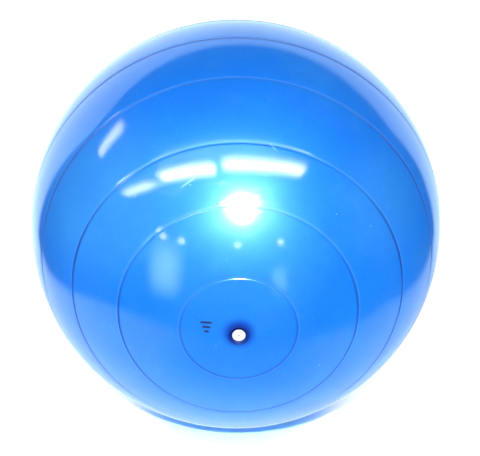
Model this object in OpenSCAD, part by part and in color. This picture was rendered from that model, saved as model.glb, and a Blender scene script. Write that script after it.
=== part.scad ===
// Inflatable exercise ball with concentric grip rings, a valve seat and a push-in plug.
// The ball stands on the floor at z = 0 and its valve faces -Y. All sizes are in millimetres.

/* [Ball] */
// Diameter of the inflated ball
ball_d = 650; // [550:10:750]
// Thickness of the stretched wall
wall = 0.8; // [0.7:0.05:1.4]
// Depth by which the ball's own weight flattens it on the floor
rest_depth = 2; // [1:0.5:4]
// Height of the parting line that the mould leaves around the middle
parting_height = 0.2; // [0.1:0.1:0.4]

/* [Grip rings] */
// Angle of each grip ring from the valve axis, in degrees, on either half of the ball
ring_angles = [12.5, 27, 41, 56.5, 72.5]; // [10:0.5:80]
// Depth of each ring's groove
ring_depth = 0.6; // [0.3:0.1:1]
// Width of the groove's steep side, nearer the pole
ring_steep_w = 1.2; // [0.8:0.1:3]
// Width of the groove's gentle side, nearer the middle
ring_gentle_w = 4.5; // [3:0.5:8]

/* [Valve seat] */
// Diameter of the recess at the ball's surface
recess_d = 23.5; // [20:0.5:26]
// Diameter of the recess at its floor
recess_floor_d = 19; // [17:0.5:20]
// Depth of the recess
recess_depth = 3; // [2.5:0.1:4]
// Width of the seat's rim, which shows around the recess
rim_w = 1.5; // [1:0.25:3]
// Diameter of the flange bonded to the inside of the wall
flange_d = 50; // [44:1:60]
// Thickness of the flange at its edge
flange_edge = 1; // [0.8:0.1:2]
// Diameter of the cup that carries the recess
cup_d = 29; // [28:1:34]
// Depth of the cup below the ball's surface
cup_depth = 8; // [7:0.5:10]
// Diameter of the tube that grips the plug
tube_d = 19; // [16:0.5:22]
// Depth of the tube's end below the ball's surface
tube_depth = 27; // [26:1:34]
// Diameter of the tube's bore
bore_d = 10; // [8:0.5:11]

/* [Plug] */
// Diameter of the plug's head
head_d = 16; // [14:0.5:16.5]
// Thickness of the head at its rim
head_edge = 2.2; // [1.8:0.1:2.6]
// Height of the head's crown above its rim
head_crown = 0.6; // [0.3:0.1:1]
// Diameter of the dimple in the middle of the head
dimple_d = 3.2; // [2:0.2:5]
// Depth of the dimple
dimple_depth = 1; // [0.5:0.1:1.5]
// Length of the shaft below the head
shaft_l = 22; // [18:1:24]
// Diameter of the shaft between its ribs
shaft_d = 8.6; // [7:0.1:9]
// Number of sealing ribs on the shaft
rib_count = 3; // [1:1:4]
// Width of a rib's full-diameter land
rib_land = 1.2; // [0.8:0.1:1.6]
// Depth of the hollow in the end of the shaft
core_depth = 14; // [8:1:17]
// Diameter of that hollow
core_d = 4; // [3:0.5:5]

/* [Hidden] */

// gaps that let the plug slide, and the reach of a cutter past the surface that it cuts
running_gap = 0.05;
head_gap = 0.05;
reach = 1;

ball_r = ball_d / 2;
inner_r = ball_r - wall;
centre_z = ball_r - rest_depth;
all_ring_angles = concat(ring_angles, [for (angle = ring_angles) 180 - angle]);

rim_r = recess_d / 2 + rim_w;
seat_floor = ball_r - recess_depth;
flange_under = sqrt(pow(inner_r, 2) - pow(flange_d / 2, 2)) - flange_edge;
tube_end = ball_r - tube_depth;
taper_l = (cup_d - tube_d) / 2;

head_under = seat_floor + head_gap;
crown_r = (pow(head_d / 2, 2) + pow(head_crown, 2)) / (2 * head_crown);
rib_r = bore_d / 2 - running_gap;
shaft_r = shaft_d / 2;
rib_taper = 2 * (rib_r - shaft_r);
rib_pitch = (shaft_l - 2 * rib_taper) / (rib_count + 0.5);
tip_chamfer = 1;

ball_facets = 240;
small_facets = 96;

// Angle that an arc of the given length spans on the ball
function arc_angle(length) = length / ball_r * 180 / PI;

// Point of a half-section, as [distance from the axis, height along it]
function on_ball(radius, angle) = radius * [sin(angle), cos(angle)];

// Places a shape modelled about +Z from the ball's centre onto the valve axis, which faces -Y
module about_valve_axis() {
    translate([0, 0, centre_z])
        rotate([90, 0, 0])
            children();
}

// Keeps what lies above a height, where the floor flattens the ball
module flattened(height) {
    intersection() {
        children();
        translate([-ball_d, -ball_d, height])
            cube(2 * ball_d);
    }
}

// Cutter for one grip ring on a sphere: a V with its steep side nearer the pole
module ring_cutter(angle, radius) {
    towards_middle = angle < 90 ? 1 : -1;
    widen = (ring_depth + reach) / ring_depth;
    steep = towards_middle * arc_angle(ring_steep_w) * widen;
    gentle = towards_middle * arc_angle(ring_gentle_w) * widen;
    rotate_extrude($fn = ball_facets)
        polygon([
            on_ball(radius + reach, angle - steep),
            on_ball(radius - ring_depth, angle),
            on_ball(radius + reach, angle + gentle)
        ]);
}

module grooved_ball(radius) {
    difference() {
        sphere(radius, $fn = ball_facets);
        for (angle = all_ring_angles)
            ring_cutter(angle, radius);
    }
}

module parting_line() {
    rotate_extrude($fn = ball_facets)
        translate([ball_r - parting_height, 0])
            circle(2 * parting_height, $fn = 24);
}

module ball_shell() {
    color("dodgerblue")
        difference() {
            flattened(0)
                about_valve_axis() {
                    grooved_ball(ball_r);
                    parting_line();
                }
            flattened(wall)
                about_valve_axis()
                    grooved_ball(inner_r);
            about_valve_axis()
                cylinder(r = rim_r, h = ball_d, $fn = small_facets);
        }
}

// The rim fills the hole in the wall, and the flange lies against the inside of the wall
module seat_rim() {
    intersection() {
        sphere(ball_r, $fn = ball_facets);
        translate([0, 0, flange_under])
            cylinder(r = rim_r, h = ball_r, $fn = small_facets);
    }
}

module seat_flange() {
    intersection() {
        sphere(inner_r, $fn = ball_facets);
        translate([0, 0, flange_under])
            cylinder(d = flange_d, h = ball_r, $fn = small_facets);
    }
}

module seat_cup_and_tube() {
    rotate_extrude($fn = small_facets)
        polygon([
            [0, tube_end],
            [tube_d / 2, tube_end],
            [tube_d / 2, ball_r - cup_depth - taper_l],
            [cup_d / 2, ball_r - cup_depth],
            [cup_d / 2, flange_under],
            [0, flange_under]
        ]);
}

module recess_cutter() {
    widen = (recess_d - recess_floor_d) / 2 / recess_depth * reach;
    translate([0, 0, seat_floor])
        cylinder(
            d1 = recess_floor_d,
            r2 = recess_d / 2 + widen,
            h = recess_depth + reach,
            $fn = small_facets
        );
}

module valve_seat() {
    color("royalblue")
        about_valve_axis()
            difference() {
                union() {
                    seat_rim();
                    seat_flange();
                    seat_cup_and_tube();
                }
                recess_cutter();
                translate([0, 0, tube_end - reach])
                    cylinder(d = bore_d, h = tube_depth, $fn = small_facets);
            }
}

// The crown is the part of a large sphere that lies within the head's rim
module plug_head() {
    translate([0, 0, head_under])
        difference() {
            intersection() {
                cylinder(d = head_d, h = head_edge + head_crown, $fn = small_facets);
                translate([0, 0, head_edge + head_crown - crown_r])
                    sphere(crown_r, $fn = ball_facets);
            }
            translate([0, 0, head_edge + head_crown - dimple_depth])
                cylinder(d1 = dimple_d / 2, d2 = dimple_d, h = dimple_depth + running_gap, $fn = small_facets);
        }
}

// One barbed rib, which widens away from the tip up to a straight land
module plug_rib(top) {
    rotate_extrude($fn = small_facets)
        polygon([
            [0, top],
            [rib_r, top],
            [rib_r, top - rib_land],
            [shaft_r, top - rib_land - rib_taper],
            [0, top - rib_land - rib_taper]
        ]);
}

module plug_shaft() {
    tip = head_under - shaft_l;
    rotate_extrude($fn = small_facets)
        polygon([
            [0, tip],
            [shaft_r - tip_chamfer, tip],
            [shaft_r, tip + tip_chamfer],
            [shaft_r, head_under],
            [0, head_under]
        ]);
    for (i = [1 : rib_count])
        plug_rib(head_under - (i - 0.5) * rib_pitch);
}

module valve_plug() {
    color("white")
        about_valve_axis()
            difference() {
                union() {
                    plug_head();
                    plug_shaft();
                }
                translate([0, 0, head_under - shaft_l - reach])
                    cylinder(d = core_d, h = core_depth + reach, $fn = small_facets);
            }
}

ball_shell();
valve_seat();
valve_plug();
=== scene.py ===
"""Looks of the exercise ball: a glossy translucent blue ball with grip rings, its valve seat and its plug.

Everything is in metres in the CAD frame: the ball stands on the floor at z = 0 and its valve faces -Y.
"""
import math

import bmesh
import bpy
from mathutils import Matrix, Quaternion, Vector, noise


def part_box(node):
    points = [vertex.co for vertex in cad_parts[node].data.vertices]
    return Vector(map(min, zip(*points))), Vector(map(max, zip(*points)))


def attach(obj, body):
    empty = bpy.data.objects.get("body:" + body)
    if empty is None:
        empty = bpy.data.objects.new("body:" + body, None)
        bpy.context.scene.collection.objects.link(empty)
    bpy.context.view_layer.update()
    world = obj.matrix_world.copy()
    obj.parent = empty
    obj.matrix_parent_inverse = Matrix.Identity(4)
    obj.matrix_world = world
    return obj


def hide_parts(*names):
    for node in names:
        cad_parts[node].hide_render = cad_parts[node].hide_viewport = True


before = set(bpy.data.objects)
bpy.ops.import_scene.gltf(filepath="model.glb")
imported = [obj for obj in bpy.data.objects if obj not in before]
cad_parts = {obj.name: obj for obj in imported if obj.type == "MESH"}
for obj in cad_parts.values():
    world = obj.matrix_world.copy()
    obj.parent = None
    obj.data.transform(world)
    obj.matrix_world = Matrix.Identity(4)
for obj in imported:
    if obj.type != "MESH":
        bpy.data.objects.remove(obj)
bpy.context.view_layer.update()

MM = 0.001

# ---------------------------------------------------------------- sizes
# from the frame
BALL_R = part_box("ball_shell")[1].y
PLUG_LOW, PLUG_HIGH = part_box("valve_plug")
CENTRE = Vector((0, 0, (PLUG_LOW.z + PLUG_HIGH.z) / 2))
HEAD_R = (PLUG_HIGH.x - PLUG_LOW.x) / 2
HEAD_TOP = -PLUG_LOW.y
PLUG_TIP = -PLUG_HIGH.y
SEAT_LOW, SEAT_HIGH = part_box("valve_seat")
FLANGE_R = (SEAT_HIGH.x - SEAT_LOW.x) / 2
TUBE_END = -SEAT_HIGH.y

# as the design has them
WALL = 0.8 * MM
PARTING_HEIGHT = 0.2 * MM
PARTING_HALF_W = 0.5 * MM
RING_ANGLES = [12.5, 27, 41, 56.5, 72.5]
RING_DEPTH = 0.6 * MM
RING_STEEP_W = 1.2 * MM
RING_GENTLE_W = 4.5 * MM
RECESS_R = 11.75 * MM
RECESS_FLOOR_R = 9.5 * MM
RECESS_DEPTH = 3 * MM
RIM_R = 13.25 * MM
CUP_R = 14.5 * MM
CUP_DEPTH = 8 * MM
FLANGE_T = 1 * MM
TUBE_R = 9.5 * MM
BORE_R = 5 * MM
HEAD_EDGE = 2.2 * MM
HEAD_CROWN = 0.6 * MM
DIMPLE_R = 1.6 * MM
DIMPLE_DEPTH = 1 * MM
SHAFT_R = 4.3 * MM
RIB_R = 4.95 * MM
RIB_LAND = 1.2 * MM
RIB_COUNT = 3
CORE_R = 2 * MM
CORE_DEPTH = 14 * MM

# how the moulded rings really sit, in degrees: all are tipped up a little, and the third is not quite round.
# Each effect comes in over its first range from the valve axis and goes out over its second.
RING_TILT = 0.42
TILT_IN, TILT_OUT = (5, 10), (80, 88)
RING_3_SHIFT = -0.4
RING_3_OVAL = 0.5
RING_3_IN, RING_3_OUT = (32, 38), (44, 51)

# the painted shade in and beside a groove, partly dirt, reaches this far beyond it, and further for each
# degree from the valve axis
SHADE_AND_DIRT_REACH = 0.9 * MM
SHADE_AND_DIRT_GROWTH = 0.04 * MM
# the rings nearest the poles are the shallowest: their share of the depth, and where it rises to 1 in degrees
POLE_SHARE = 0.6
POLE_ANGLES = (12, 40)

# the grooves carry less painted shade on the upper front, where the flash lights them, and are made shallower
# there, down to a step, which lies at this share of a ring's depth. The change goes out over a range of
# degrees from its middle.
LIT_FRONT_WAY = Vector((0, -0.8, 0.6))
LIT_FRONT_SHARE = 0.95
LIT_FRONT_ANGLES = (22, 44)
STEP_SHARE = 0.36

# the skin's slight unevenness, which comes in over a few degrees outside the valve
WAVE_HEIGHT = 0.07 * MM
WAVE_LENGTH = 70 * MM
WAVE_IN_DEG = 6

# a printed mark of three bars beside the valve: their lengths, the place of the middle one's middle from the
# valve axis, and the ink's section, as shares of its half width and heights
BAR_LENGTHS = [14 * MM, 10 * MM, 6 * MM]
BAR_HALF_W = 1.5 * MM
BAR_TIP_HALF_W = 0.02 * MM
BAR_PITCH = 6 * MM
BAR_PLACE = (-38 * MM, 11 * MM)
BAR_SECTION = [(-1, -0.15 * MM), (-0.9, 0.08 * MM), (0, 0.09 * MM), (0.9, 0.08 * MM), (1, -0.15 * MM)]

# fineness of the meshes
BALL_SEGMENTS = 288
VALVE_SEGMENTS = 96
BAR_STEPS = 16
STEP_DEG = 1.8
COARSE_STEP_DEG = 3.6
COARSE_SKIP = 3
HOLE_EDGE_STEP = 0.3 * MM
SHARP_DEG = 32
ROUND_SHARE = 0.45
ON_AXIS = 1e-7
NEAR_POLE_DEG = 179


# ---------------------------------------------------------------- mesh helpers
def about_valve(radius, along, turn):
    """A point at a distance from the valve axis, and along it from the ball's centre."""
    return Vector((radius * math.cos(turn), -along, CENTRE.z + radius * math.sin(turn)))


def smooth_step(value, start, end):
    t = min(1, max(0, (value - start) / (end - start)))
    return t * t * (3 - 2 * t)


def new_object(name, bm, material, body):
    """A smooth piece made from bm, which rides on a body."""
    bmesh.ops.recalc_face_normals(bm, faces=bm.faces)
    mesh = bpy.data.meshes.new(name)
    bm.to_mesh(mesh)
    bm.free()
    for polygon in mesh.polygons:
        polygon.use_smooth = True
    mesh.set_sharp_from_angle(angle=math.radians(SHARP_DEG))
    mesh.materials.append(material)
    piece = bpy.data.objects.new(name, mesh)
    bpy.context.scene.collection.objects.link(piece)
    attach(piece, body)
    return piece


def revolve(outline, segments, marks=None):
    """Turns a closed outline of (radius, along) points about the valve axis.

    marks has a (groove, lip) pair for each point.
    """
    bm = bmesh.new()
    groove = bm.verts.layers.float.new("groove")
    lip = bm.verts.layers.float.new("lip")
    rings = []
    for i, (radius, along) in enumerate(outline):
        turns = [0] if radius < ON_AXIS else [2 * math.pi * j / segments for j in range(segments)]
        ring = [bm.verts.new(about_valve(radius, along, turn)) for turn in turns]
        for vertex in ring:
            vertex[groove], vertex[lip] = marks[i] if marks else (0, 0)
        rings.append(ring)
    for ring, following in zip(rings, rings[1:] + rings[:1]):
        for j in range(segments):
            corners = [ring[j % len(ring)], following[j % len(following)]]
            corners += [following[(j + 1) % len(following)], ring[(j + 1) % len(ring)]]
            corners = list(dict.fromkeys(corners))
            if len(corners) > 2:
                bm.faces.new(corners)
    return bm


def rounded(points, radius, steps=4):
    """The outline with each corner rounded over its own length, or a shorter one where there's no room."""
    smooth = []
    count = len(points)
    for i, (here, size) in enumerate(zip(points, radius)):
        if not size:
            smooth.append(here)
            continue
        here = Vector(here)
        before, after = Vector(points[i - 1]), Vector(points[(i + 1) % count])
        reach_in = min(size, (before - here).length * ROUND_SHARE)
        reach_out = min(size, (after - here).length * ROUND_SHARE)
        start = here + (before - here).normalized() * reach_in
        end = here + (after - here).normalized() * reach_out
        for step in range(steps + 1):
            t = step / steps
            smooth.append(tuple(start * (1 - t) ** 2 + here * 2 * t * (1 - t) + end * t * t))
    return smooth


# ---------------------------------------------------------------- the ball's skin
def degrees_for(length):
    return math.degrees(length / BALL_R)


def groove_points(angle):
    """(polar angle, depth, marks) across a grip ring: a narrow groove nearer the pole, then a gentle rise."""
    side = 1 if angle < 90 else -1
    from_pole = min(angle, 180 - angle)
    # painted shade beside the groove, partly dirt, widening away from the pole
    shade_and_dirt = SHADE_AND_DIRT_REACH + SHADE_AND_DIRT_GROWTH * from_pole
    share = POLE_SHARE + (1 - POLE_SHARE) * smooth_step(from_pole, *POLE_ANGLES)
    # the place across the ring, the share of its depth there, and how much groove (painted shade, partly
    # dirt) and lip (painted highlight) shows
    steps = [
        (-RING_STEEP_W - shade_and_dirt, 0, (0, 0)),
        (-RING_STEEP_W - 0.7 * shade_and_dirt, 0, (0.9, 0)),
        (-RING_STEEP_W - 0.05 * MM, 0.01, (1, 0)),
        (-RING_STEEP_W + 0.1 * MM, 0.15, (1, 0)),
        (-0.65 * RING_STEEP_W, 1.15, (1, 0)),
        (-0.5 * RING_STEEP_W, 1.35, (1, 0)),
        (-0.35 * RING_STEEP_W, 1.15, (1, 0)),
        (-0.05 * MM, 0.5, (1, 0)),
        (0.1 * MM, 0.45, (1, 0)),
        (0.5 * MM, 0.42, (0.8, 0.3)),
        (0.9 * MM, 0.39, (0.2, 1)),
        (1.5 * MM, 0.34, (0, 1)),
        (0.5 * RING_GENTLE_W, 0.26, (0, 0.3)),
        (0.9 * RING_GENTLE_W, 0.07, (0, 0)),
        (RING_GENTLE_W + 0.6 * MM, 0, (0, 0)),
    ]
    points = []
    for across, depth, (groove, lip) in steps:
        place = angle + side * degrees_for(across)
        points.append((place, depth * share * RING_DEPTH, (groove * share, lip * share)))
    return sorted(points)


def skin_profile(start_angle, coarse):
    """(polar angle, depth, marks) from the valve hole to the far pole. The unseen inside has it coarse."""
    rings = RING_ANGLES + [180 - angle for angle in reversed(RING_ANGLES)]
    half_w = degrees_for(PARTING_HALF_W)
    plain = (0, 0)
    features = [groove_points(angle)[:: COARSE_SKIP if coarse else 1] for angle in rings]
    parting_turns = (-1, 1) if coarse else (-1, -0.5, 0, 0.5, 1)
    parting = [(90 + t * half_w, -PARTING_HEIGHT * (1 - t * t), plain) for t in parting_turns]
    features.insert(len(RING_ANGLES), parting)
    features.append([(180, 0, plain)])
    profile = [(start_angle, 0, plain), (start_angle + degrees_for(HOLE_EDGE_STEP), 0, plain)]
    for feature in features:
        last = profile[-1][0]
        gap = feature[0][0] - last
        count = max(1, round(gap / (COARSE_STEP_DEG if coarse else STEP_DEG)))
        profile += [(last + gap * i / count, 0, plain) for i in range(1, count)]
        profile += feature
    return profile


def settle(out):
    """Moves a point of the skin, from the ball's centre, to where the tipped and oval rings put it."""
    valve_way = Vector((0, -1, 0))
    away = math.degrees(out.angle(valve_way))
    near_third = smooth_step(away, *RING_3_IN) * (1 - smooth_step(away, *RING_3_OUT))
    slide = near_third * (RING_3_SHIFT + RING_3_OVAL * math.cos(2 * math.atan2(out.z, out.x)))
    out = Quaternion(valve_way.cross(out).normalized(), math.radians(slide)) @ out
    tilt = RING_TILT * smooth_step(away, *TILT_IN) * (1 - smooth_step(away, *TILT_OUT))
    return Quaternion((1, 0, 0), -math.radians(tilt)) @ out


def soft_floor(z, level, softness=0.3 * MM):
    """z, pushed up to stay above a level, with a soft bend where the ball meets the floor."""
    above = z - level
    return level + (above + math.sqrt(above * above + softness * softness)) / 2


def make_skin(material):
    """The ball's wall, open only at the valve hole, with its grip rings, shallower on the flash-lit upper
    front, and its flat underneath.
    """
    hole_angle = math.degrees(math.asin(RIM_R / BALL_R))
    outline, marks = [], []
    outside = [(angle, BALL_R - depth, mark) for angle, depth, mark in skin_profile(hole_angle, False)]
    inside = [(angle, BALL_R - WALL - depth, (0, 0)) for angle, depth, _ in skin_profile(hole_angle, True)]
    for angle, radius, mark in outside + inside[::-1]:
        outline.append((radius * math.sin(math.radians(angle)), radius * math.cos(math.radians(angle))))
        marks.append(mark)
    bm = revolve(outline, BALL_SEGMENTS, marks)
    groove = bm.verts.layers.float["groove"]
    for vertex in bm.verts:
        out = vertex.co - CENTRE
        is_outer = out.length > BALL_R - WALL / 2 - RING_DEPTH * vertex[groove]
        away = math.degrees(out.angle(Vector((0, -1, 0))))
        if hole_angle < away < NEAR_POLE_DEG:
            out = settle(out)
        fade = min(1, max(0, (away - 2 * hole_angle) / WAVE_IN_DEG))
        # the lit upper front, where the grooves are made shallower and carry less painted shade
        lit_front = LIT_FRONT_SHARE * (1 - smooth_step(math.degrees(out.angle(LIT_FRONT_WAY)), *LIT_FRONT_ANGLES))
        below_step = BALL_R - STEP_SHARE * RING_DEPTH - out.length
        if is_outer and below_step > 0:
            out += out.normalized() * below_step * lit_front
        wave = noise.noise((CENTRE + out) / WAVE_LENGTH) * WAVE_HEIGHT * fade
        vertex.co = CENTRE + out * (1 + (wave - WAVE_HEIGHT * fade) / out.length)
        vertex[groove] *= 1 - lit_front
        vertex.co.z = soft_floor(vertex.co.z, 0 if is_outer else WALL)
    skin = new_object("ball_skin", bm, material, "ball")
    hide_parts("ball_shell")


def on_ball(x, z, height):
    """The point at a height above the ball's front, at x and z from the valve axis."""
    along = math.sqrt(BALL_R**2 - x * x - z * z)
    return CENTRE + Vector((x, -along, z)) * ((BALL_R + height) / BALL_R)


def make_mark(material):
    """Three printed bars beside the valve, each a thin film of ink with round ends."""
    bm = bmesh.new()
    for row, length in enumerate(BAR_LENGTHS):
        rings = []
        z = BAR_PLACE[1] + (1 - row) * BAR_PITCH
        for i in range(BAR_STEPS + 1):
            t = -math.cos(math.pi * i / BAR_STEPS)
            x = BAR_PLACE[0] + t * length / 2
            from_end = (1 - abs(t)) * length / 2
            half_w = BAR_HALF_W * math.sqrt(1 - max(0, 1 - from_end / BAR_HALF_W) ** 2) + BAR_TIP_HALF_W
            points = [on_ball(x, z + side * half_w, height) for side, height in BAR_SECTION]
            rings.append([bm.verts.new(point) for point in points])
        for ring, following in zip(rings, rings[1:]):
            for j in range(len(ring)):
                k = (j + 1) % len(ring)
                bm.faces.new((ring[j], following[j], following[k], ring[k]))
        bm.faces.new(rings[0])
        bm.faces.new(rings[-1])
    mark = new_object("printed_bars", bm, material, "ball")


# ---------------------------------------------------------------- the valve seat and the plug
def make_seat(material):
    """The moulded insert: a rim flush with the ball, a recess, a flange under the wall, a cup and a tube."""
    on_surface = math.sqrt(BALL_R**2 - RIM_R**2)
    at_recess = math.sqrt(BALL_R**2 - RECESS_R**2)
    inner_r = BALL_R - WALL
    floor = BALL_R - RECESS_DEPTH
    flange_mid_r = FLANGE_R * 0.75
    flange_top = math.sqrt(inner_r**2 - FLANGE_R**2)
    flange_under = flange_top - FLANGE_T
    taper = CUP_R - TUBE_R
    # each corner of the outline, and the length that it is rounded over
    corners = [
        ((BORE_R, TUBE_END), 0.5 * MM),
        ((BORE_R, floor), 0.4 * MM),
        ((RECESS_FLOOR_R, floor), 0.9 * MM),
        ((RECESS_R, at_recess), 1.0 * MM),
        ((RIM_R, on_surface), 0.15 * MM),
        ((RIM_R, math.sqrt(inner_r**2 - RIM_R**2)), 0),
        ((flange_mid_r, math.sqrt(inner_r**2 - flange_mid_r**2)), 0),
        ((FLANGE_R, flange_top), 0.2 * MM),
        ((FLANGE_R, flange_under), 0.5 * MM),
        ((CUP_R, flange_under), 0.8 * MM),
        ((CUP_R, BALL_R - CUP_DEPTH), 1.5 * MM),
        ((TUBE_R, BALL_R - CUP_DEPTH - taper), 2 * MM),
        ((TUBE_R, TUBE_END), 1.2 * MM),
    ]
    outline = rounded([c for c, _ in corners], [size for _, size in corners], steps=5)
    seat = new_object("valve_seat_moulding", revolve(outline, VALVE_SEGMENTS), material, "ball")
    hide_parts("valve_seat")


def make_plug(material):
    """The plug: a crowned head with a dimple, a ribbed shaft and a hollow end."""
    head_under = HEAD_TOP - HEAD_EDGE - HEAD_CROWN
    crown_r = (HEAD_R**2 + HEAD_CROWN**2) / (2 * HEAD_CROWN)
    # each corner of the outline, and the length that it is rounded over
    corners = [((0, HEAD_TOP - DIMPLE_DEPTH), 0), ((DIMPLE_R * 0.5, HEAD_TOP - DIMPLE_DEPTH), 0.35 * MM)]
    corners.append(((DIMPLE_R, HEAD_TOP), 0.5 * MM))
    for share in (0.4, 0.6, 0.8):
        across = HEAD_R * share
        corners.append(((across, HEAD_TOP - crown_r + math.sqrt(crown_r**2 - across**2)), 0))
    corners += [((HEAD_R, HEAD_TOP - HEAD_CROWN), 0.6 * MM), ((HEAD_R * 0.85, head_under), 0.5 * MM)]
    corners.append(((SHAFT_R, head_under), 0.4 * MM))
    rib_taper = 2 * (RIB_R - SHAFT_R)
    pitch = (head_under - PLUG_TIP - 2 * rib_taper) / (RIB_COUNT + 0.5)
    for i in range(RIB_COUNT):
        top = head_under - (i + 0.5) * pitch
        corners += [((SHAFT_R, top), 0.15 * MM), ((RIB_R, top), 0.15 * MM)]
        corners.append(((RIB_R, top - RIB_LAND), 0.3 * MM))
        corners.append(((SHAFT_R, top - RIB_LAND - rib_taper), 0.4 * MM))
    corners += [((SHAFT_R, PLUG_TIP), 1.2 * MM), ((CORE_R, PLUG_TIP), 0.3 * MM)]
    corners += [((CORE_R * 0.9, PLUG_TIP + CORE_DEPTH), 0.6 * MM), ((0, PLUG_TIP + CORE_DEPTH + 0.5 * MM), 0)]
    outline = rounded([c for c, _ in corners], [size for _, size in corners])
    plug = new_object("plug_moulding", revolve(outline, VALVE_SEGMENTS), material, "plug")
    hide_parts("valve_plug")


# ---------------------------------------------------------------- materials
class Nodes:
    """A short way to write a node tree."""

    def __init__(self, name):
        self.material = bpy.data.materials.new(name)
        self.material.use_nodes = True
        self.tree = self.material.node_tree
        self.tree.nodes.clear()
        self.output = self.add("ShaderNodeOutputMaterial")
        self.shader = self.add("ShaderNodeBsdfPrincipled")
        self.tree.links.new(self.shader.outputs[0], self.output.inputs["Surface"])
        self.place = self.add("ShaderNodeTexCoord").outputs["Object"]

    def add(self, kind, **settings):
        node = self.tree.nodes.new(kind)
        for key, value in settings.items():
            setattr(node, key, value)
        return node

    def put(self, socket, value):
        if isinstance(value, bpy.types.NodeSocket):
            self.tree.links.new(value, socket)
        else:
            socket.default_value = value

    def math(self, operation, first, second=0.0, third=0.0, clamp=False):
        node = self.add("ShaderNodeMath", operation=operation, use_clamp=clamp)
        self.put(node.inputs[0], first)
        self.put(node.inputs[1], second)
        self.put(node.inputs[2], third)
        return node.outputs[0]

    def vector(self, operation, first, second=(0, 0, 0), output=0):
        node = self.add("ShaderNodeVectorMath", operation=operation)
        self.put(node.inputs[0], first)
        self.put(node.inputs[1], second)
        return node.outputs[output]

    def distance_to(self, point):
        return self.vector("LENGTH", self.vector("SUBTRACT", self.place, point), output=1)

    def distance_to_axis(self):
        """The distance from the valve axis."""
        across = self.vector("MULTIPLY", self.vector("SUBTRACT", self.place, CENTRE), (1, 0, 1))
        return self.vector("LENGTH", across, output=1)

    def split_place(self):
        """The x, y and z of the place."""
        split = self.add("ShaderNodeSeparateXYZ")
        self.put(split.inputs[0], self.place)
        return split.outputs

    def noise(self, scale, detail=3, roughness=0.5, place=None):
        node = self.add("ShaderNodeTexNoise")
        self.put(node.inputs["Vector"], place or self.place)
        self.put(node.inputs["Scale"], scale)
        self.put(node.inputs["Detail"], detail)
        self.put(node.inputs["Roughness"], roughness)
        return node.outputs["Fac"]

    def ramp(self, value, start, end, low=0.0, high=1.0):
        """value, stretched from start..end to low..high, and held there beyond."""
        node = self.add("ShaderNodeMapRange", interpolation_type="SMOOTHSTEP")
        self.put(node.inputs["Value"], value)
        for key, number in (("From Min", start), ("From Max", end), ("To Min", low), ("To Max", high)):
            self.put(node.inputs[key], number)
        return node.outputs["Result"]

    def mix(self, share, first, second):
        node = self.add("ShaderNodeMix", data_type="RGBA")
        self.put(node.inputs["Factor"], share)
        self.put(node.inputs[6], first)
        self.put(node.inputs[7], second)
        return node.outputs[2]

    def specks(self, scale, size, share, seed):
        """1 in small round specks, at most one to a cell, in this share of the cells."""
        shifted = self.vector("ADD", self.place, (seed, 0, 0))
        cells = self.add("ShaderNodeTexVoronoi", feature="F1")
        self.put(cells.inputs["Vector"], shifted)
        self.put(cells.inputs["Scale"], scale)
        split = self.add("ShaderNodeSeparateColor")
        self.put(split.inputs[0], cells.outputs["Color"])
        chosen = self.math("LESS_THAN", split.outputs[0], share)
        radius = self.math("MULTIPLY_ADD", split.outputs[1], size, size * 0.5)
        edge = self.math("DIVIDE", cells.outputs["Distance"], radius)
        spot = self.ramp(edge, 1.0, 0.6)
        return self.math("MULTIPLY", spot, chosen)

    def scratches(self, scale, direction, width, seed):
        """Sparse hairlines that run along one direction."""
        turned = self.add("ShaderNodeMapping")
        self.put(turned.inputs["Vector"], self.place)
        self.put(turned.inputs["Rotation"], direction)
        self.put(turned.inputs["Location"], (seed, seed, 0))
        self.put(turned.inputs["Scale"], (1, 14, 14))
        lines = self.noise(scale, 1, 0.5, turned.outputs[0])
        off = self.math("ABSOLUTE", self.math("SUBTRACT", lines, 0.5))
        hair = self.ramp(off, width, width * 0.3)
        patches = self.noise(scale * 0.8, 2, 0.5, self.vector("ADD", self.place, (seed, 3, 1)))
        return self.math("MULTIPLY", hair, self.ramp(patches, 0.56, 0.66))

    def streak(self, start, end, half_w):
        """1 along a thin straight scuff that fades towards its ends."""
        start, end = Vector(start), Vector(end)
        way = (end - start).normalized()
        from_middle = self.vector("SUBTRACT", self.place, (start + end) / 2)
        along = self.vector("DOT_PRODUCT", from_middle, way, output=1)
        beside = self.vector("LENGTH", self.vector("CROSS_PRODUCT", from_middle, way), output=1)
        half = (end - start).length / 2
        length_share = self.ramp(self.math("ABSOLUTE", along), half * 1.2, half * 0.5)
        return self.math("MULTIPLY", length_share, self.ramp(beside, half_w, half_w * 0.3))

    def bump(self, height, strength, distance, onto=None):
        node = self.add("ShaderNodeBump")
        self.put(node.inputs["Height"], height)
        node.inputs["Strength"].default_value = strength
        node.inputs["Distance"].default_value = distance
        if onto:
            self.put(node.inputs["Normal"], onto)
        return node.outputs[0]

    def set(self, **values):
        for key, value in values.items():
            self.put(self.shader.inputs[key.replace("_", " ")], value)


BALL_BLUE = (0.006, 0.2, 0.95, 1)
BALL_DEEP = (0.005, 0.175, 0.88, 1)
NAVY = (0.0005, 0.022, 0.33, 1)
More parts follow.
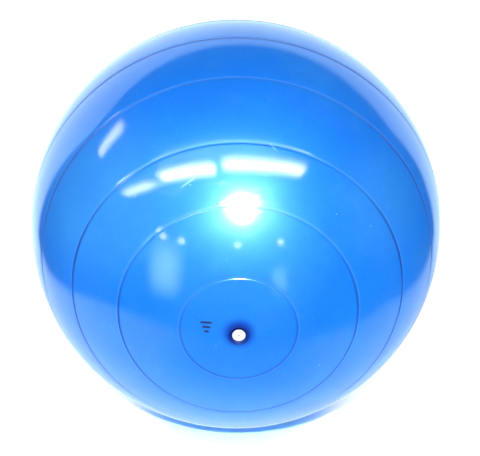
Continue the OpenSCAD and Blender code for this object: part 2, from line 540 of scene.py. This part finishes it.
# pale: for specks and scuffs, and for the painted highlight on the grooves' lips
PALE_SPECK_AND_HIGHLIGHT = (0.4, 0.75, 1.0, 1)
SPECK_DARK = (0.004, 0.05, 0.3, 1)
GROOVE_BLUE = (0.001, 0.05, 0.45, 1)
MOTTLE_AND_SHEEN_BLUE = (0.06, 0.36, 1.0, 1)
SEAT_BLUE = (0.0005, 0.04, 0.32, 1)
SEAT_DEEP = (0.0005, 0.03, 0.27, 1)
GAP_SHADE_NAVY = (0.0005, 0.008, 0.1, 1)
INK_NAVY = (0.002, 0.015, 0.13, 1)
PLUG_WHITE = (0.86, 0.86, 0.84, 1)
PLUG_GREY = (0.8, 0.81, 0.8, 1)
DIMPLE_SHADE_GREY = (0.3, 0.36, 0.4, 1)
PLUG_SCUFF = (0.6, 0.62, 0.63, 1)
# how far red, green and blue light go, as shares, in blue PVC and in white polyethylene
PVC_DEPTHS = (0.1, 0.4, 1.0)
WHITE_DEPTHS = (1.0, 0.9, 0.8)
# patches of painted sheen, where the ball's gloss glows softly from the room's lights: middle, reach and
# share
SHEEN_PATCHES = [
    ((-0.17, -0.225, 0.46), 0.14, 0.45),
    ((0.175, -0.23, 0.45), 0.1, 0.3),
    ((-0.005, -0.313, 0.41), 0.14, 0.11),
]
# long scuffs: one end and the other
SCUFFS = [
    ((-0.066, -0.272, 0.488), (-0.049, -0.269, 0.499)),
    ((0.037, -0.246, 0.532), (0.059, -0.261, 0.515)),
    ((0.060, -0.277, 0.492), (0.066, -0.284, 0.473)),
    ((-0.120, -0.262, 0.473), (-0.111, -0.252, 0.485)),
]
SCUFF_HALF_W = 1.6 * MM
# specks: cells to a metre, size in cells, share of the cells and seed
POWDER = (240, 0.1, 0.3, 9.1)
PALE_SPECKS = (70, 0.05, 0.22, 1.7)
DARK_SPECKS = (80, 0.06, 0.2, 5.3)
# how strongly each mark shows
GROOVE_SHOWS = 0.9
LIP_SHOWS = 0.12
POWDER_SHOWS = 0.2
PALE_SHOWS = 0.7
DARK_SHOWS = 0.8
SCUFF_SHOWS = 0.4
PLUG_SCUFF_SHOWS = 0.3
WORN_INK_SHOWS = 0.6
# hairlines: scale, direction, width and seed
BALL_HAIRS = [(7, (0.3, 0.5, 0.2), 0.006, 2.0), (9, (1.2, 0.2, 0.9), 0.005, 4.0)]
PLUG_HAIRS = (60, (0.4, 0.1, 0.7), 0.02, 1.0)
HAIR_ROUGHNESS = 0.2
# the dark round the valve, where the seat stops the glow from inside: its middle, its outer and inner reach,
# how steeply it falls off, and the share of the gloss that it and the grooves take
SHADE_MIDDLE = (0, -BALL_R, CENTRE.z + 3 * MM)
SHADE_REACH = (26 * MM, 9 * MM)
SHADE_POWER = 1.3
SHADE_DULLS = 0.75
GROOVE_DULLS = 0.9


def ball_pvc():
    """Glossy translucent PVC: deep blue, with painted shade over the seat and in the grooves.

    It has painted sheen in patches, a painted highlight along each groove's lip, and dust and scratches.
    """
    n = Nodes("ball_pvc")
    cloud = n.ramp(n.noise(5, 3), 0.35, 0.7)
    colour = n.mix(cloud, BALL_BLUE, BALL_DEEP)
    # random paler mottling, plus patches of painted sheen
    mottle_and_sheen = n.ramp(n.noise(9, 8, 0.7), 0.45, 0.75, 0.0, 0.2)
    for place, reach, share in SHEEN_PATCHES:
        mottle_and_sheen = n.math("ADD", mottle_and_sheen, n.ramp(n.distance_to(place), reach, reach * 0.25, 0.0, share))
    colour = n.mix(n.math("MINIMUM", mottle_and_sheen, 1.0), colour, MOTTLE_AND_SHEEN_BLUE)
    # painted shade round the valve, where the seat stops the glow from inside
    over_seat = n.math("POWER", n.ramp(n.distance_to(SHADE_MIDDLE), *SHADE_REACH), SHADE_POWER)
    colour = n.mix(over_seat, colour, NAVY)
    groove = n.add("ShaderNodeAttribute", attribute_name="groove").outputs["Fac"]
    # painted shade in and beside the grooves, partly dirt
    colour = n.mix(n.math("MULTIPLY", groove, GROOVE_SHOWS), colour, GROOVE_BLUE)
    # painted highlight along each groove's outer lip
    lip = n.add("ShaderNodeAttribute", attribute_name="lip").outputs["Fac"]
    colour = n.mix(n.math("MULTIPLY", lip, LIP_SHOWS), colour, PALE_SPECK_AND_HIGHLIGHT)
    powder = n.specks(*POWDER)
    colour = n.mix(n.math("MULTIPLY", powder, POWDER_SHOWS), colour, PALE_SPECK_AND_HIGHLIGHT)
    pale = n.specks(*PALE_SPECKS)
    colour = n.mix(n.math("MULTIPLY", pale, PALE_SHOWS), colour, PALE_SPECK_AND_HIGHLIGHT)
    dark = n.specks(*DARK_SPECKS)
    colour = n.mix(n.math("MULTIPLY", dark, DARK_SHOWS), colour, SPECK_DARK)
    for start, end in SCUFFS:
        scuff = n.math("MULTIPLY", n.streak(start, end, SCUFF_HALF_W), SCUFF_SHOWS)
        colour = n.mix(scuff, colour, PALE_SPECK_AND_HIGHLIGHT)
    hairs = n.math("MAXIMUM", *[n.scratches(*hair) for hair in BALL_HAIRS])
    dust = n.math("MAXIMUM", pale, dark)
    smear = n.noise(12, 4, 0.6)
    scratched = n.math("MULTIPLY", hairs, HAIR_ROUGHNESS)
    roughness = n.math("ADD", n.ramp(smear, 0.3, 0.8, 0.45, 0.52), scratched)
    ripple = n.bump(n.noise(45, 2), 0.12, 0.4 * MM)
    grain = n.bump(n.noise(900, 2), 0.05, 0.05 * MM, ripple)
    marked = n.bump(n.math("SUBTRACT", dust, hairs), 0.3, 0.05 * MM, grain)
    n.set(Base_Color=colour, Roughness=roughness, Normal=marked, Coat_Normal=marked)
    dull_groove = n.math("MULTIPLY", groove, GROOVE_DULLS)
    dull_seat = n.math("MULTIPLY", over_seat, SHADE_DULLS)
    n.set(Coat_Weight=n.math("SUBTRACT", 1.0, n.math("MAXIMUM", dull_groove, dull_seat)))
    n.set(IOR=1.5, Metallic=0.12, Specular_IOR_Level=0.06, Coat_Roughness=0.08, Coat_IOR=1.5)
    n.set(Subsurface_Weight=0.25, Subsurface_Radius=PVC_DEPTHS, Subsurface_Scale=12 * MM)
    return n.material


def seat_pvc():
    """The seat's thicker PVC, painted nearly black for the shade in the gap round the plug, with turning
    marks from its mould.
    """
    n = Nodes("seat_pvc")
    colour = n.mix(n.noise(120, 3), SEAT_BLUE, SEAT_DEEP)
    # painted shade: nearly black in the gap round the plug
    gap_shade = n.ramp(n.distance_to_axis(), RECESS_FLOOR_R + 0.5 * MM, RECESS_FLOOR_R - 0.5 * MM)
    colour = n.mix(gap_shade, colour, GAP_SHADE_NAVY)
    marks = n.noise(60, 2, 0.5, n.vector("MULTIPLY", n.place, (1, 30, 1)))
    n.set(Base_Color=colour, Roughness=n.ramp(marks, 0.3, 0.7, 0.35, 0.5))
    n.set(Normal=n.bump(marks, 0.2, 0.1 * MM), IOR=1.5, Specular_IOR_Level=0.06)
    n.set(Subsurface_Weight=0.2, Subsurface_Radius=PVC_DEPTHS, Subsurface_Scale=3 * MM)
    return n.material


def mark_ink():
    """Navy printing ink, slightly worn and duller than the ball."""
    n = Nodes("mark_ink")
    worn = n.ramp(n.noise(900, 3), 0.6, 0.75)
    colour = n.mix(n.math("MULTIPLY", worn, WORN_INK_SHOWS), INK_NAVY, BALL_DEEP)
    n.set(Base_Color=colour, Roughness=n.ramp(n.noise(300, 2), 0.3, 0.7, 0.45, 0.6))
    n.set(Normal=n.bump(n.noise(1500, 2), 0.1, 0.02 * MM), IOR=1.5)
    n.set(Specular_IOR_Level=0.2, Coat_Weight=0.5, Coat_Roughness=0.15)
    return n.material


def plug_plastic():
    """White polyethylene: satin, waxy and slightly mottled, with fine scuffs on the head."""
    n = Nodes("plug_plastic")
    mottle = n.noise(400, 3)
    colour = n.mix(mottle, PLUG_WHITE, PLUG_GREY)
    # painted shade in the dimple
    dimple_shade = n.ramp(n.distance_to_axis(), DIMPLE_R * 1.1, DIMPLE_R * 0.6)
    colour = n.mix(dimple_shade, colour, DIMPLE_SHADE_GREY)
    scuffs = n.scratches(*PLUG_HAIRS)
    colour = n.mix(n.math("MULTIPLY", scuffs, PLUG_SCUFF_SHOWS), colour, PLUG_SCUFF)
    scratched = n.math("MULTIPLY", scuffs, HAIR_ROUGHNESS)
    roughness = n.math("ADD", n.ramp(mottle, 0.3, 0.7, 0.32, 0.42), scratched)
    n.set(Base_Color=colour, Roughness=roughness, Normal=n.bump(mottle, 0.1, 0.05 * MM))
    n.set(IOR=1.5, Subsurface_Weight=0.3, Subsurface_Radius=WHITE_DEPTHS, Subsurface_Scale=1.5 * MM)
    return n.material


# ---------------------------------------------------------------- camera
# from the ball's centre
CAMERA_DISTANCE = 3.0 * BALL_R
CAMERA_ELEVATION = math.radians(23.72)
CAMERA_TURN = math.radians(-0.45)
SENSOR_W = 36.0
# in widths of the view
OUTLINE_RADIUS = 0.42625
BALL_OFF_CENTRE = Vector((-0.0075, 0.0077083))
CLIP_START, CLIP_END = 0.01, 50


def make_camera():
    """Looks down at the ball from three radii away, with its outline at a set size and place in the view."""
    data = bpy.data.cameras.new("camera")
    camera = bpy.data.objects.new("camera", data)
    bpy.context.scene.collection.objects.link(camera)
    level = math.cos(CAMERA_ELEVATION)
    back = Vector((math.sin(CAMERA_TURN) * level, -math.cos(CAMERA_TURN) * level, math.sin(CAMERA_ELEVATION)))
    camera.location = CENTRE + back * CAMERA_DISTANCE
    ratio = CAMERA_DISTANCE / BALL_R
    focal = OUTLINE_RADIUS * math.sqrt(ratio * ratio - 1)
    data.sensor_width = SENSOR_W
    data.lens = focal * SENSOR_W
    right = back.cross(Vector((0, 0, 1))).normalized() * -1
    up = back.cross(right).normalized()
    shift = BALL_OFF_CENTRE * (CAMERA_DISTANCE / focal)
    aim = CENTRE - right * shift.x - up * shift.y
    camera.rotation_mode = "QUATERNION"
    camera.rotation_quaternion = (aim - camera.location).to_track_quat("-Z", "Y")
    data.clip_start, data.clip_end = CLIP_START, CLIP_END
    bpy.context.scene.camera = camera
    return camera


# ---------------------------------------------------------------- studio
FLOOR_HALF = 40.0
ROOM_LIGHT = 0.82
WHITE = (1, 1, 1, 1)
BLACK = (0, 0, 0, 1)

# the floor's paper, its painted tint from the light that comes through the ball, and its painted glow to
# burnt-out white beyond, with the distances over which each comes in
PAPER = (0.78, 0.78, 0.78, 1)
PAPER_PALE = (0.8, 0.8, 0.8, 1)
PAPER_TINTED = (0.5, 0.76, 0.78, 1)
TINT_RING = (0.62 * BALL_R, 0.52 * BALL_R)
BURNT_RING = (0.45 * BALL_R, 0.7 * BALL_R)
BURNT_STRENGTH = 0.6

# the white sheet that the ball mirrors, in ball radii: (across, along) it, on the floor and then up its back
SHEET_BACK_Y = 1.8
SHEET_OUTLINE = [
    (-6.2, 6.0), (-5.0, 4.0), (-3.6, 2.0), (-3.3, 1.2), (-2.8, 0.6), (-2.7, -1.4), (-2.1, -2.1), (-1.2, -2.3),
    (0.9, -1.95), (1.8, -1.4), (2.4, -0.9), (2.8, 0.6), (3.3, 1.2), (3.6, 2.0), (4.4, 4.9), (3.1, 5.6),
    (0, 6.15), (-4.9, 6.65),
]
SHEET_CORNER = 0.4
SHEET_FADE = 0.6
SHEET_STEP = 0.15
SHEET_BELOW_FLOOR = 0.5 * MM
SHEET_NEAR = (0.8, 1, 1, 1)
SHEET_HIGH = (0.72, 0.95, 1, 1)
# its brightness, out of the shade and in it, and where the shade in front comes in, along and across
SHEET_LEVELS = (1.2, 0.44)
SHEET_SHADE_ALONG = (-0.5 * BALL_R, -2.0 * BALL_R)
SHEET_SHADE_ACROSS = (0.4 * BALL_R, 1.4 * BALL_R)
# what is added from right to left, towards the back and high up: from where to where, and from what to what
SHEET_SLOPE = (3 * BALL_R, -3 * BALL_R, -0.3, 0.1)
SHEET_BACK = (0.8 * BALL_R, SHEET_BACK_Y * BALL_R)
SHEET_BACK_ADDS = (0.0, 0.5)
SHEET_TOP = (2.0 * BALL_R, 4.2 * BALL_R, 0.0, -0.2)

# the panels that the gloss sees clear where they are dimmer than this, so that none hides another
CLEAR_BELOW = 2.0
# ceiling tubes: name, left, right and back places, radiance and the share of each half that fades
TUBES = [
    ("tube_left", -2.1, -0.4, -1.75, 36, 0.15),
    ("tube_right", -0.42, 1.7, -1.65, 32, 0.25),
    ("tube_far", -4.5, -1.85, -1.9, 18, 0.6),
    ("tube_side", -4.1, -2.1, 0.3, 10, 0.4),
]
TUBE_HEIGHT = 2.4
TUBE_WIDTH = 1.12
TUBE_FALLOFF = 3.0
HAZE_PLACE = (-0.5, -1.62, 2.6)
HAZE_SIZE = (3.8, 1.9)
HAZE_RADIANCE = 2.6
HAZE_FADES = (0.5, 1.0)
# windows: name, turn, rise, size and radiance
WINDOWS = [("window_left", -33.5, 0, (1.25, 1.9), 7.5), ("window_right", 19, -4, (0.7, 1.2), 4)]
WINDOW_CYAN = (0.6, 0.97, 1, 1)
WINDOW_FADES = (0.95, 0.9)
# small lamps
LAMP_TURNS = (-36, -27, 0, 21)
LAMP_RISE = 14
LAMP_SIZE = (0.24, 0.24)
LAMP_RADIANCE = 16
LAMP_FADES = (0.9, 0.9)
# how far the windows and lamps are from the ball's centre
ROOM_REACH = 3

# the flash stands above the lens; its shadow's edge shows under the ball as if from a little lower
FLASH = (0.034, -0.9, 0.85)
FLASH_LOW = (-0.031, -0.745, 0.634)
# its light on everything, its sharp light on the floor, what comes through the ball on to the floor, and what
# the gloss mirrors, each with its size and radiance
FLASH_ON_ALL = (0.04, 600)
FLASH_ON_FLOOR = (0.02, 15000)
THROUGH_BALL = (0.3, 12)
THROUGH_BALL_TINT = (0, 0.75, 1)
FLASH_MIRRORED = (0.2, 360)
# the halo round it: the middle's reach, radiance and half size, and how many times further away it stands
HALO_CORE = 0.125
HALO_PEAK = 30.0
HALO_HALF = 0.8
HALO_AWAY = 8


def floor_paper():
    """White paper, painted with the blue light that comes through the ball under it, and glowing burnt-out
    white away from it.
    """
    n = Nodes("floor_paper")
    tone = n.mix(n.noise(3, 2), PAPER, PAPER_PALE)
    from_ball = n.vector("LENGTH", n.place, output=1)
    # painted light: the blue that comes through the ball on to the floor
    tone = n.mix(n.ramp(from_ball, *TINT_RING), tone, PAPER_TINTED)
    n.set(Base_Color=tone, Roughness=0.9, Specular_IOR_Level=0.1)
    # a painted glow: burnt-out white away from the ball
    n.set(Emission_Color=WHITE, Emission_Strength=n.ramp(from_ball, *BURNT_RING, 0.0, BURNT_STRENGTH))
    return n.material


def glow(name, strength, colour=WHITE, clear_below=None):
    """A surface that only shines, and may clear where it is dim.

    strength is a function of its nodes, and so may colour be.
    """
    n = Nodes(name)
    tint = colour(n) if callable(colour) else colour
    bright = strength(n)
    n.set(Base_Color=BLACK, Specular_IOR_Level=0.0, Emission_Color=tint, Emission_Strength=bright)
    if clear_below:
        n.set(Alpha=n.math("DIVIDE", bright, clear_below, clamp=True))
    return n.material


def sheet_strength(n):
    """How bright the mirrored sheet is: brighter up its back, and dimmer in front, where it is in shade."""
    across, along, up = n.split_place()
    front = n.ramp(along, *SHEET_SHADE_ALONG)
    beside = n.ramp(n.math("ABSOLUTE", across), *SHEET_SHADE_ACROSS)
    dim = n.math("MULTIPLY", front, n.math("SUBTRACT", 1.0, beside))
    slope = n.ramp(across, *SHEET_SLOPE)
    back = n.ramp(along, *SHEET_BACK, *SHEET_BACK_ADDS)
    back = n.math("ADD", back, n.ramp(up, *SHEET_TOP))
    whole = n.math("ADD", n.math("ADD", slope, back), n.ramp(dim, 0.0, 1.0, *SHEET_LEVELS))
    inside = n.add("ShaderNodeAttribute", attribute_name="inside").outputs["Fac"]
    return n.math("MULTIPLY", whole, n.ramp(inside, -SHEET_FADE / 2, SHEET_FADE / 2))


def sheet_colour(n):
    """Pale cyan, and a little deeper up its back."""
    along = n.split_place()[1]
    return n.mix(n.ramp(along, *SHEET_BACK), SHEET_NEAR, SHEET_HIGH)


def stage_mesh(name, verts, faces, material):
    mesh = bpy.data.meshes.new(name)
    mesh.from_pydata(verts, [], faces)
    thing = bpy.data.objects.new(name, mesh)
    bpy.context.scene.collection.objects.link(thing)
    mesh.materials.append(material)
    return thing


def only_mirrored(thing):
    """Makes a thing show in reflections only."""
    thing.visible_camera = False
    thing.visible_diffuse = False
    thing.visible_shadow = False
    thing.visible_transmission = False
    thing.visible_volume_scatter = False


def square(half):
    """The corners of a level square about the origin."""
    return [(-half, -half, 0), (half, -half, 0), (half, half, 0), (-half, half, 0)]


def make_floor():
    floor = stage_mesh("floor", square(FLOOR_HALF), [(0, 1, 2, 3)], floor_paper())
    floor.visible_glossy = False
    return floor


def inside_by(point, outline):
    """How far a point is inside a closed outline, or less than 0 outside it."""
    inside, nearest = False, math.inf
    for (x0, y0), (x1, y1) in zip(outline, outline[1:] + outline[:1]):
        if (y0 > point[1]) != (y1 > point[1]) and point[0] < x0 + (point[1] - y0) * (x1 - x0) / (y1 - y0):
            inside = not inside
        edge = Vector((x1 - x0, y1 - y0))
        from_start = Vector(point) - Vector((x0, y0))
        share = min(1, max(0, from_start.dot(edge) / edge.length_squared))
        nearest = min(nearest, (from_start - edge * share).length)
    return nearest if inside else -nearest


def make_sheet():
    """The white sheet as the ball mirrors it. Its shape shows in the reflection along the ball's edge."""
    outline = rounded(SHEET_OUTLINE, [SHEET_CORNER] * len(SHEET_OUTLINE))
    lows = [min(p[i] for p in outline) - SHEET_FADE for i in range(2)]
    counts = [math.ceil((max(p[i] for p in outline) + SHEET_FADE - lows[i]) / SHEET_STEP) for i in range(2)]
    verts, insides = [], []
    for i in range(counts[0] + 1):
        for j in range(counts[1] + 1):
            across, along = lows[0] + i * SHEET_STEP, lows[1] + j * SHEET_STEP
            back, up = min(along, SHEET_BACK_Y), max(0, along - SHEET_BACK_Y)
            verts.append((across * BALL_R, back * BALL_R, up * BALL_R - SHEET_BELOW_FLOOR))
            insides.append(inside_by((across, along), outline))
    faces = []
    for i in range(counts[0]):
        for j in range(counts[1]):
            first = i * (counts[1] + 1) + j
            face = (first, first + counts[1] + 1, first + counts[1] + 2, first + 1)
            if max(insides[corner] for corner in face) > -SHEET_FADE / 2:
                faces.append(face)
    sheet = stage_mesh("mirrored_sheet", verts, faces, glow("sheet_glow", sheet_strength, sheet_colour))
    sheet.data.attributes.new("inside", "FLOAT", "POINT").data.foreach_set("value", insides)
    only_mirrored(sheet)


def make_panel(name, centre, size, radiance, fades, aim=CENTRE, power=1.0, colour=WHITE):
    """A bright panel that only the ball's gloss sees, and that faces the ball or a point.

    fades are the shares of each half that fade, and power bends the second fade.
    """

    def strength(n):
        place = n.split_place()
        bright = [n.ramp(n.math("ABSOLUTE", place[i]), 1.0, 1.0 - fades[i]) for i in range(2)]
        return n.math("MULTIPLY", n.math("MULTIPLY", bright[0], n.math("POWER", bright[1], power)), radiance)

    material = glow(name + "_glow", strength, colour, CLEAR_BELOW)
    panel = stage_mesh(name, square(1), [(0, 1, 2, 3)], material)
    panel.scale = (size[0] / 2, size[1] / 2, 1)
    panel.location = centre
    panel.rotation_mode = "QUATERNION"
    panel.rotation_quaternion = (Vector(aim) - Vector(centre)).to_track_quat("Z", "Y")
    only_mirrored(panel)


def flash_halo(n):
    """The soft halo round the flash, which falls off with the distance from its middle."""
    away = n.math("DIVIDE", n.vector("LENGTH", n.place, output=1), HALO_CORE)
    falloff = n.math("POWER", n.math("MULTIPLY_ADD", away, away, 1.0), 2.0)
    return n.math("DIVIDE", HALO_PEAK, falloff)


def make_halo(camera):
    """A wide soft glow far behind the flash, which only the ball's gloss sees."""
    mirror_point = CENTRE + (Vector(FLASH) + camera.location - 2 * CENTRE).normalized() * BALL_R
    halo = stage_mesh("flash_halo", square(HALO_HALF), [(0, 1, 2, 3)], glow("halo_glow", flash_halo))
    halo.location = mirror_point + (Vector(FLASH) - mirror_point) * HALO_AWAY
    halo.scale = (HALO_AWAY, HALO_AWAY, 1)
    halo.rotation_mode = "QUATERNION"
    halo.rotation_quaternion = (mirror_point - halo.location).to_track_quat("Z", "Y")
    only_mirrored(halo)


def room_point(turn, rise):
    """The point in the room that is a turn to the right of the valve's direction, and a rise above it."""
    turn, rise = math.radians(turn), math.radians(rise)
    level = math.cos(rise)
    return CENTRE + ROOM_REACH * Vector((math.sin(turn) * level, -math.cos(turn) * level, math.sin(rise)))


def make_light(name, place, size, radiance, glossy=False, diffuse=True, only=None, colour=None, shadow=True):
    """A round light of a given radiance, aimed at the ball. It lights one thing only, if that is given."""
    data = bpy.data.lights.new(name, "AREA")
    data.shape = "DISK"
    data.size = size
    data.energy = radiance * math.pi * math.pi * size * size / 4
    data.color = colour or WHITE[:3]
    data.use_shadow = shadow
    light = bpy.data.objects.new(name, data)
    bpy.context.scene.collection.objects.link(light)
    light.location = place
    light.rotation_mode = "QUATERNION"
    light.rotation_quaternion = (CENTRE - Vector(place)).to_track_quat("-Z", "Y")
    light.visible_camera = False
    light.visible_glossy = glossy
    light.visible_diffuse = diffuse
    if only:
        receivers = bpy.data.collections.new(name + "_receivers")
        receivers.objects.link(only)
        light.light_linking.receiver_collection = receivers


def below(place):
    """The point on the floor under a place."""
    return (place[0], place[1], 0)


def make_lights(floor, camera):
    """The room's even light, the flash, and the lamps and windows that the ball's gloss mirrors."""
    world = bpy.data.worlds.new("room")
    bpy.context.scene.world = world
    world.use_nodes = True
    background = world.node_tree.nodes["Background"]
    background.inputs["Color"].default_value = WHITE
    background.inputs["Strength"].default_value = ROOM_LIGHT
    world.cycles_visibility.glossy = False
    make_light("flash", FLASH, *FLASH_ON_ALL)
    make_light("flash_on_floor", FLASH_LOW, *FLASH_ON_FLOOR, only=floor)
    make_light("through_ball", FLASH_LOW, *THROUGH_BALL, only=floor, colour=THROUGH_BALL_TINT, shadow=False)
    make_light("flash_mirror", FLASH, *FLASH_MIRRORED, glossy=True, diffuse=False)
    make_halo(camera)
    for name, left, right, back, radiance, end_fade in TUBES:
        middle = ((left + right) / 2, back, TUBE_HEIGHT)
        size = (right - left, TUBE_WIDTH)
        make_panel(name, middle, size, radiance, (end_fade, 1.0), below(middle), TUBE_FALLOFF)
    make_panel("tube_haze", HAZE_PLACE, HAZE_SIZE, HAZE_RADIANCE, HAZE_FADES, below(HAZE_PLACE))
    for name, turn, rise, size, radiance in WINDOWS:
        make_panel(name, room_point(turn, rise), size, radiance, WINDOW_FADES, colour=WINDOW_CYAN)
    for turn in LAMP_TURNS:
        place = room_point(turn, LAMP_RISE)
        make_panel("lamp_%d" % (turn + 90), place, LAMP_SIZE, LAMP_RADIANCE, LAMP_FADES)


# ---------------------------------------------------------------- make everything
camera = make_camera()
make_skin(ball_pvc())
make_mark(mark_ink())
make_seat(seat_pvc())
make_plug(plug_plastic())
make_sheet()
make_lights(make_floor(), camera)
bpy.context.scene.view_settings.view_transform = "Standard"
